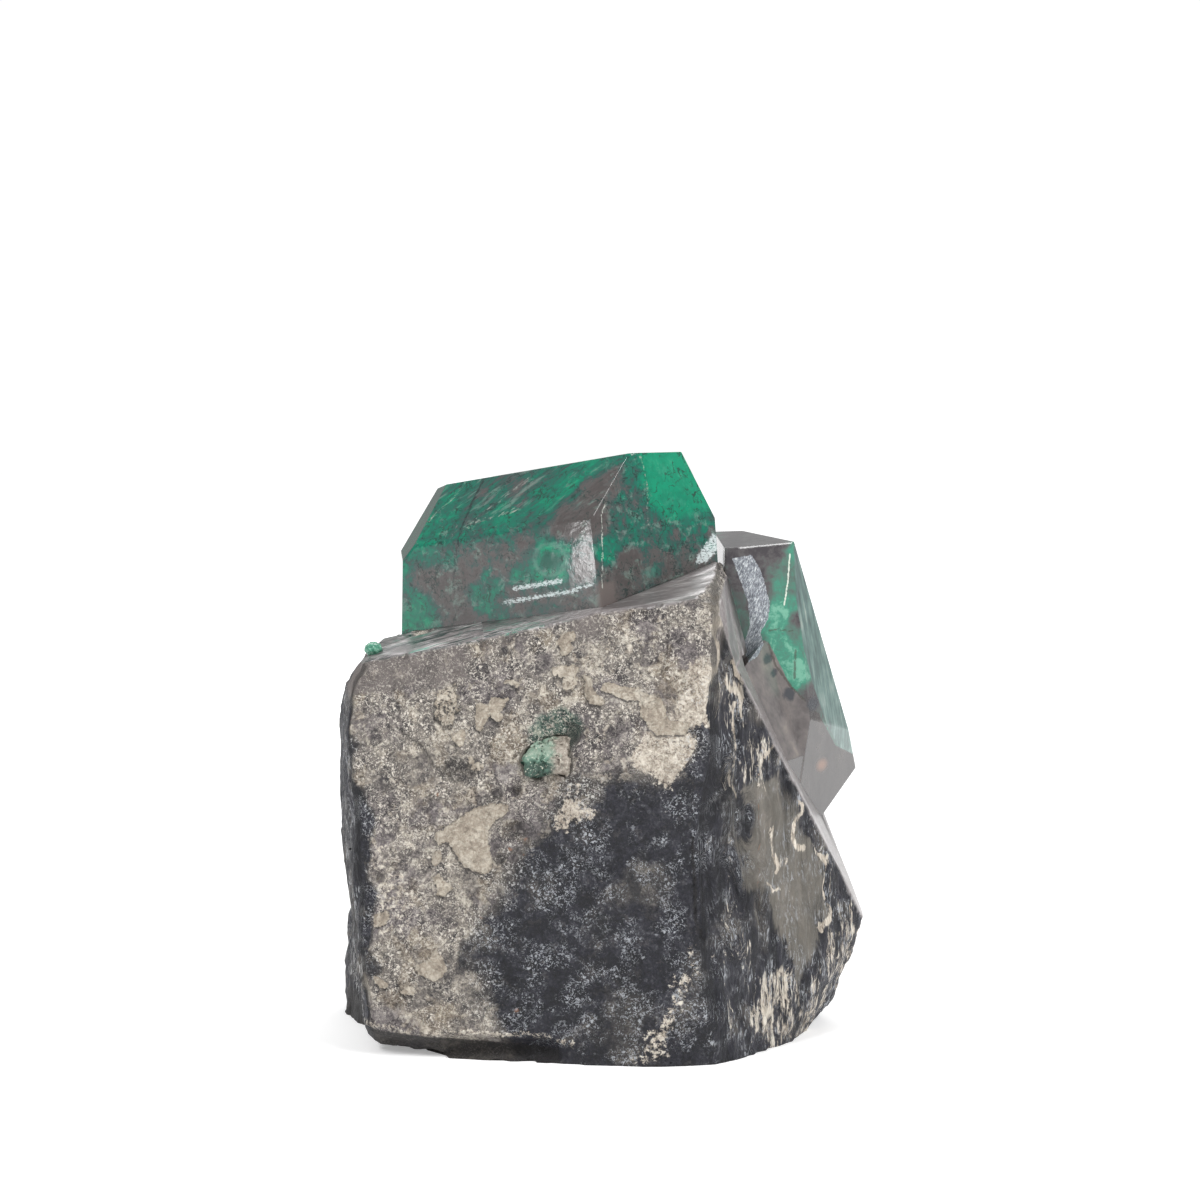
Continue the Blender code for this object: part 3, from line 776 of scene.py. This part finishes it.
top_emerald = rounded_crystal("top_crystal", "top_emerald")
rows = []
for vert in top_emerald.data.vertices:
    place = vert.co / MM
    spot = (place.x, place.z)
    seen = vert.normal.y < 0.1
    rims, cores = [0.0], [0.0]
    for across, up, radius, pale, pale_inside, dark_middle in ROUND_SPOTS:
        away = math.dist(spot, (across, up))
        rims.append(pale * ease(abs(away - radius * 0.85), radius * 0.35, 0))
        rims.append(pale_inside * ease(away, radius, radius * 0.4))
        cores.append(dark_middle * ease(away, radius * 0.8, radius * 0.3))
    fracture = 0.92 * ease(from_line(spot, FRACTURE), 0.8, 0.1)
    threads = [0.75 * ease(from_line(spot, line), 1.3, 0.1) for line in PALE_THREADS]
    # the pale fibres, and a painted highlight along the facet edge on the right
    threads.append(0.8 * ease(from_line(spot, FACET_EDGE_HIGHLIGHT), 0.7, 0.1))
    scratches = [ease(from_line(spot, line), width + 0.5, width * 0.4) for width, line in GRINDING_MARKS]
    scratches.append(ease(inside(spot, BURR), -0.6, 0.4))
    rows.append({
        "green": mingled(spot, TOP_GREENS, 0.45),
        "streaky": ease(place.x, 4, -2) * ease(place.z + 0.12 * place.x, 109, 113),
        "rim": max(rims),
        "core": max(cores),
        "crack": max(fracture, 0.6 * ease(from_line(spot, SHORT_CRACK), 0.6, 0.1)),
        "threads_and_highlight": max(threads),
        "scratch": max(scratches) if seen else 0.0,
        "pillar": ease(inside(spot, PILLAR), -1.2, 1.4) if seen else 0.0,
        "ridge_highlight": ease(from_line(spot, RIDGE_HIGHLIGHT_LINE), 0.5, 0.1) if seen else 0.0,
        # painted shade on the facets that face left
        "end_facet_shade": ease(vert.normal.x, -0.72, -0.78),
    })
paint(top_emerald, rows)

polished_green, tree, shader = new_finish("polished_top_emerald")
place = in_mm()
slanting = drawn_out(place, (0.3, 1, 1), turn=(0, math.radians(36), 0))
streaky = painted("streaky")


def grown(size, detail, roughness, twist):
    """Noise that is cloudy low on the crystal and drawn out along its fibres higher up."""
    low = clouds(place, size, detail, roughness, twist)
    high = clouds(slanting, size * 0.8, detail, roughness, twist)
    return step("ShaderNodeMix", {"Factor": streaky, 2: low, 3: high}).outputs[0]


wisps = grown(2.6, 5, 0.66, 0.5)
fine = grown(0.8, 4, 0.7, 0.3)
haze = clouds(place, 5, 3, 0.5)
wavy = shaken(place, place, 2, 3)
cell = swing(randoms(cells(wavy, 0.36))[0], 0.24)
clear = between(painted("green"), 0.97, 0.7)
mixed = total(cell, swing(wisps, 1.3), swing(fine, 0.6), swing(haze, 0.3))
share = total(painted("green"), times(mixed, total(0.3, times(clear, 0.7))))
colour = ramp(share, [
    (0.0, (74, 69, 68)), (0.2, (84, 80, 79)), (0.34, (66, 76, 75)), (0.46, (48, 78, 73)),
    (0.6, (30, 92, 79)), (0.78, (14, 106, 85)), (0.92, (6, 120, 91)), (1.0, (6, 132, 99))])
dark_wisps = times(between(fine, 0.44, 0.34), clear)
colour = over(times(dark_wisps, 0.7), colour, shade(26, 58, 52))
milky = times(between(grown(3, 5, 0.7, 0.4), 0.53, 0.68), clear)
colour = over(times(milky, 0.5), colour, shade(118, 142, 132))
pale_clouds = times(between(clouds(place, 3.5, 3, 0.6), 0.5, 0.75), rest_of(clear))
colour = over(times(pale_clouds, 0.35), colour, shade(70, 160, 130))
veins = times(lines(clouds(wavy, 5, 3, 0.6), 0.018), between(haze, 0.4, 0.55))
colour = over(times(veins, 0.8), colour, shade(30, 48, 45))
# The pale fibres, and a painted highlight along the facet edge on the right
threads_and_highlight = share_of("threads_and_highlight", 0.7, 1.15, swing(fine, 2.2))
colour = over(times(threads_and_highlight, 0.7), colour, shade(176, 176, 168))
colour = over(share_of("rim", 0.2, 0.8, swing(fine, 0.5)), colour, shade(84, 124, 112))
colour = over(share_of("core", 0.1, 0.9, swing(fine, 0.5)), colour, shade(16, 76, 64))
crack = share_of("crack", 0.55, 1, swing(fine, 1.6))
colour = over(times(crack, 0.9), colour, shade(34, 44, 44))
colour = over(share_of("pillar", 0.2, 1, swing(fine, 0.8)), colour, shade(98, 90, 87))
scratched_lines = clouds(drawn_out(place, (0.5, 1, 1.6)), 0.5, 3, 0.8)
white = share_of("scratch", 0.55, 1.1, swing(scratched_lines, 3))
colour = over(times(white, 0.9), colour, shade(196, 206, 206))
# Painted shade: the facets at the left end, picked by the way they face, are darkened
colour = over(times(painted("end_facet_shade"), 0.8), colour, shade(6, 52, 38))
# Painted highlight: a pale line down the front ridge
ridge_highlight = share_of("ridge_highlight", 0.75, 0.95, swing(fine, 1.6))
colour = over(times(ridge_highlight, 0.7), colour, shade(186, 190, 182))
feed(shader, {
    "Base Color": colour,
    "Roughness": total(0.06, times(white, 0.5)),
    "IOR": EMERALD_IOR,
    "Normal": bumps(total(swing(haze, 1), swing(fine, 0.04), times(white, 0.3)), 0.06, 0.4),
})
clad(top_emerald, polished_green, 20)
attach(top_emerald, "root")
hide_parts("top_crystal")

# ---------------------------------------------------------------------------------------------
# The side crystal: a second, greyer emerald crystal that leans out of the rock beside the first. Its
# lower half is grey-brown, its right facet a pale teal with a painted reflection over it, and a wheel
# has left a white scratched band.
SIDE_GREENS = [
    (33, 103, 3, 0.05), (35.5, 97, 2.4, 0.12), (40.6, 101.5, 2.2, 0.52), (40.6, 97.6, 1.8, 0.62),
    (40, 92.4, 2.2, 0.92), (42.4, 94.6, 1.4, 0.8), (39.4, 87, 1.8, 0.88), (41, 82, 2.8, 0.84),
    (44.2, 79.6, 1.7, 0.97), (43.4, 91, 1.1, 0.08), (42.6, 88.2, 1.2, 0.5), (44, 105.8, 1.4, 0.8),
    (37.2, 106.6, 3, 0.12), (31, 106, 2, 0.02), (47.4, 72, 2, 0.16), (49.4, 68.6, 1.6, 0.4),
]
GREY_HALF = [
    (30, 86), (32.9, 82.6), (34.8, 83.5), (36.5, 86.5), (37.6, 85.6), (42.3, 76.3), (48.9, 69.5),
    (53.4, 61.3), (60, 57), (60, 44), (44, 44), (30, 75)]
DARK_PATCHES = [(37.2, 82.6, 1.4), (42, 74.4, 1.9), (47.6, 72, 2.2), (38.6, 79.4, 1.0)]
# Where the right facet is pale teal: its own colour with a painted reflection over it, in mm
TEAL_AND_SHEEN = [
    (43.1, 106.7), (43.5, 95.2), (45.3, 84.1), (47.4, 76.1), (50.9, 66.6), (53.9, 60.9), (56.2, 54.5),
    (62, 54), (62, 110), (44, 110)]
SCRATCHED = [
    (29.4, 104.6), (32, 97.6), (32.9, 94.9), (33.4, 90), (32.1, 85.6), (32.5, 82.6), (34.8, 83.5),
    (36.4, 85.8), (35.6, 88.3), (37.4, 90.9), (37.9, 94), (37, 97.5), (36.5, 99.7), (35.2, 103),
    (33.8, 105.3)]
# A painted highlight: a pale line down the edge between the green front and the right facet, in mm
SIDE_EDGE_HIGHLIGHT = [(42.4, 105.4), (41.9, 99), (41, 93.9)]
SIDE_CRACKS = [
    [(42.8, 59.6), (48.2, 59.9), (53.9, 60.6)], [(37.4, 86), (39, 81), (42.3, 76.4), (45.6, 73)],
    [(37.6, 88.6), (40, 88.7), (43, 88.3)], [(43.6, 84), (43.3, 78)]]
RUST_SPOT = (50, 57.7)

side_emerald = rounded_crystal("side_crystal", "side_emerald")
# The low right facet, picked by the way it faces, is painted darker as shade
low_way = facing(63, -3)
rows = []
for vert in side_emerald.data.vertices:
    place = vert.co / MM
    spot = (place.x, place.z)
    rows.append({
        "green": mingled(spot, SIDE_GREENS, 0.5),
        "grey": ease(inside(spot, GREY_HALF), -0.7, 0.5),
        "dark": max(ease(math.dist(spot, (x, z)), radius + 0.9, 0.3) for x, z, radius in DARK_PATCHES),
        "teal_and_sheen": ease(inside(spot, TEAL_AND_SHEEN), -0.3, 0.9),
        "scratch": ease(inside(spot, SCRATCHED), -0.5, 0.5) if vert.normal.y < 0 else 0.0,
        "line": ease(from_line(spot, SIDE_EDGE_HIGHLIGHT), 0.35, 0.1),
        "crack": max(ease(from_line(spot, line), 0.7, 0.1) for line in SIDE_CRACKS),
        "low_facet_shade": ease(vert.normal.dot(low_way), 0.94, 0.99),
        "rust": ease(math.dist(spot, RUST_SPOT), 2, 0.3),
    })
paint(side_emerald, rows)

polished_grey, tree, shader = new_finish("polished_side_emerald")
place = in_mm()
upright = drawn_out(place, (1, 1, 0.14), turn=(0, math.radians(14), 0))
wisps = clouds(place, 2.4, 4, 0.62, 0.6)
fine = clouds(place, 0.8, 4, 0.7, 0.3)
haze = clouds(place, 6, 3, 0.5)
share = total(painted("green"), swing(wisps, 1.1), swing(fine, 0.5))
colour = ramp(share, [
    (0.0, (66, 63, 66)), (0.2, (86, 83, 84)), (0.38, (84, 96, 92)), (0.52, (82, 110, 100)),
    (0.68, (74, 120, 105)), (0.84, (68, 134, 113)), (1.0, (108, 162, 141))])
# The right facet: its own teal, lightened towards white by a painted reflection
veil = clouds(upright, 1.6, 4, 0.6)
teal_and_sheen = ramp(total(veil, swing(haze, 0.5)), [
    (0.3, (78, 92, 91)), (0.46, (92, 114, 110)), (0.58, (108, 132, 127)), (0.7, (136, 152, 146)),
    (0.8, (176, 178, 168))])
colour = over(share_of("teal_and_sheen", 0.3, 0.7, swing(fine, 0.6)), colour, teal_and_sheen)
grey = ramp(total(0.5, swing(haze, 0.9), swing(wisps, 0.5), swing(fine, 0.12)), [
    (0.25, (84, 80, 80)), (0.45, (108, 103, 102)), (0.6, (121, 115, 112)), (0.75, (140, 131, 125))])
# Painted shade: the low facet is darkened
grey = over(times(painted("low_facet_shade"), 0.8), grey, shade(50, 47, 47))
colour = over(share_of("grey", 0.35, 0.65, swing(fine, 0.5)), colour, grey)
colour = over(times(painted("rust"), 0.4), colour, shade(176, 128, 100))
dark = share_of("dark", 0.4, 0.9, swing(wisps, 1.2), swing(fine, 0.6))
colour = over(times(dark, 0.85), colour, shade(62, 66, 72))
crack = share_of("crack", 0.6, 1, swing(fine, 1.4))
colour = over(times(crack, 0.7), colour, shade(70, 68, 62))
# Painted highlight: a pale line down the edge beside the right facet
colour = over(share_of("line", 0.5, 0.9, swing(fine, 0.8)), colour, shade(200, 208, 196))
wheel = clouds(drawn_out(place, (1.6, 1, 0.5), turn=(0, math.radians(-24), 0)), 0.5, 4, 0.8)
scratch = share_of("scratch", 0.4, 0.6, swing(fine, 0.8))
colour = over(times(scratch, 0.95), colour, ramp(wheel, [
    (0.34, (60, 64, 74)), (0.46, (104, 108, 116)), (0.54, (140, 146, 152)), (0.64, (206, 210, 212))]))
rough_band = times(swing(wheel, 1.5), scratch)
feed(shader, {
    "Base Color": colour,
    "Roughness": total(0.13, times(scratch, 0.45)),
    "IOR": EMERALD_IOR,
    "Normal": bumps(total(swing(haze, 1), swing(fine, 0.05), rough_band), 0.14, 0.5),
})
clad(side_emerald, polished_grey, 20)
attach(side_emerald, "root")
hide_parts("side_crystal")

# ---------------------------------------------------------------------------------------------
# The small crystal: a thumbnail of pale emerald that shows in the middle of the rough front, left
# unpolished. Its top is mint, its lower left a deeper green and its right end a pinkish cream.
SMALL_GRAIN = 0.35  # the size of the mesh, in mm
SMALL_SWELL = 0.75  # how far it fills the gap of its socket, so that the rock holds it, in mm
small_emerald = copy_of("small_crystal", "small_emerald")
mould = small_emerald.modifiers.new("mould", "REMESH")
mould.mode = "VOXEL"
mould.voxel_size = SMALL_GRAIN * MM
bpy.ops.object.modifier_apply(modifier="mould")
on_all_of_it(bpy.ops.mesh.vertices_smooth, factor=0.5, repeat=4)
swollen = []
for vert in small_emerald.data.vertices:
    place = vert.co / MM
    swollen.append(SMALL_SWELL + 0.9 * noise.noise(place / 2.4) + 0.4 * noise.noise(place / 1.0))
for vert, out in zip(small_emerald.data.vertices, swollen):
    vert.co += vert.normal * out * MM

rough_mint, tree, shader = new_finish("rough_mint_emerald")
place = in_mm()
across, _, up = step("ShaderNodeSeparateXYZ", {0: place}).outputs
fine = clouds(place, 0.7, 4, 0.75)
wisps = clouds(place, 2, 3, 0.6)
height = between(total(up, swing(wisps, 4)), 62, 65.5)
colour = ramp(total(times(height, 0.6), swing(fine, 0.9), 0.1), [
    (0.0, (44, 62, 55)), (0.3, (68, 100, 85)), (0.55, (104, 136, 119)), (0.8, (150, 166, 150))])
right_end = between(total(across, swing(wisps, 6)), -11, -8.4)
colour = over(right_end, colour, ramp(fine, [
    (0.35, (122, 113, 104)), (0.5, (152, 143, 132)), (0.65, (192, 183, 172))]))
colour = over(between(clouds(place, 0.5, 3, 0.7), 0.6, 0.68), colour, shade(206, 206, 190))
feed(shader, {"Base Color": colour, "Roughness": 0.5, "Normal": bumps(fine, 0.5, 0.6)})
clad(small_emerald, rough_mint, 60)
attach(small_emerald, "root")
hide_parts("small_crystal")

# ---------------------------------------------------------------------------------------------
# The edge chip: a splinter of clear pale emerald left standing on the left end of the polished top,
# where the wheel ran off the rock.
CHIP_PLACE = (-0.0495, -0.0165, 0.0856)  # in m
CHIP_RADIUS = 1.9  # in mm
CHIP_STRETCH = (1.0, 1.5, 0.7)
bpy.ops.object.select_all(action="DESELECT")
bpy.ops.mesh.primitive_ico_sphere_add(subdivisions=4, radius=CHIP_RADIUS * MM, location=CHIP_PLACE)
edge_chip = bpy.context.object
edge_chip.name = "edge_chip"
edge_chip.scale = CHIP_STRETCH
bpy.ops.object.transform_apply(location=True, rotation=True, scale=True)
for vert in edge_chip.data.vertices:
    place = vert.co / MM
    vert.co += vert.normal * MM * (0.5 * flake_step(place, 1.6, 5) + 0.2 * noise.noise(place / 0.6))

clear_green, tree, shader = new_finish("clear_pale_emerald")
place = in_mm()
colour = ramp(clouds(place, 1.2, 4, 0.7, 0.4), [
    (0.35, (52, 110, 90)), (0.5, (88, 150, 126)), (0.65, (150, 190, 170))])
feed(shader, {"Base Color": colour, "Roughness": 0.2, "Normal": bumps(clouds(place, 0.5), 0.2, 0.5)})
clad(edge_chip, clear_green, 30)
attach(edge_chip, "root")

# ---------------------------------------------------------------------------------------------
# The studio: a white floor that runs out to white, two soft boxes in front, a narrow strip low on the left
# that the top crystal mirrors beside its edge, and one light from above and behind. The camera looks a
# little down on the stone from the front.
bpy.ops.mesh.primitive_plane_add(size=8, location=(0, 0, 0))
floor = bpy.context.object
floor.name = "floor"
white_floor, tree, shader = new_finish("white_floor")
place = step("ShaderNodeTexCoord", {}).outputs["Object"]
away = step("ShaderNodeVectorMath", {0: place}, operation="LENGTH").outputs["Value"]
glow = step("ShaderNodeMapRange", {
    "Value": away, "From Min": 0.2, "From Max": 1.3, "To Min": 0.3, "To Max": 0.85}).outputs[0]
feed(shader, {
    "Base Color": (0.88, 0.88, 0.88, 1),
    "Roughness": 0.9,
    "Emission Color": (1, 1, 1, 1),
    "Emission Strength": glow,
})
floor.data.materials.append(white_floor)

AIM = Vector((0.00007, -0.0408, 0.098))  # what the camera looks at, in m
CAMERA_AWAY = 0.665  # in m
CAMERA_RISE = math.radians(4)
CAMERA_LENS = 95


def soft_light(name, place, power, width, height, target=(0, 0, 0.06)):
    """A rectangle of light, aimed at a target."""
    bpy.ops.object.light_add(type="AREA", location=place)
    light = bpy.context.object
    light.name = name
    light.data.shape = "RECTANGLE"
    light.data.size = width
    light.data.size_y = height
    light.data.energy = power
    light.rotation_euler = (Vector(target) - Vector(place)).to_track_quat("-Z", "Y").to_euler()


soft_light("right_box", (0.75, -0.75, 0.85), 11, 0.5, 0.5)
soft_light("left_box", (-0.75, -0.8, 1.1), 12, 0.5, 0.5)
soft_light("left_strip", (-0.6855, -0.4419, 0.0853), 0.009, 0.0065, 0.0224, (0, -0.03, 0.1))
soft_light("back_light", (0.1, 0.8, 0.9), 7, 0.9, 0.6)

world = bpy.data.worlds.new("studio")
bpy.context.scene.world = world
world.use_nodes = True
tree = world.node_tree
seen = step("ShaderNodeLightPath", {}).outputs["Is Camera Ray"]
brightness = step("ShaderNodeMapRange", {"Value": seen, "To Min": 0.38, "To Max": 1.02}).outputs[0]
feed(tree.nodes["Background"], {"Color": (1, 1, 1, 1), "Strength": brightness})
bpy.context.scene.view_settings.view_transform = "Standard"

bpy.ops.object.camera_add()
camera = bpy.context.object
camera.data.lens = CAMERA_LENS
camera.data.sensor_width = 36
camera.location = AIM + CAMERA_AWAY * Vector((0, -math.cos(CAMERA_RISE), math.sin(CAMERA_RISE)))
camera.rotation_euler = (AIM - camera.location).to_track_quat("-Z", "Y").to_euler()
bpy.context.scene.camera = camera
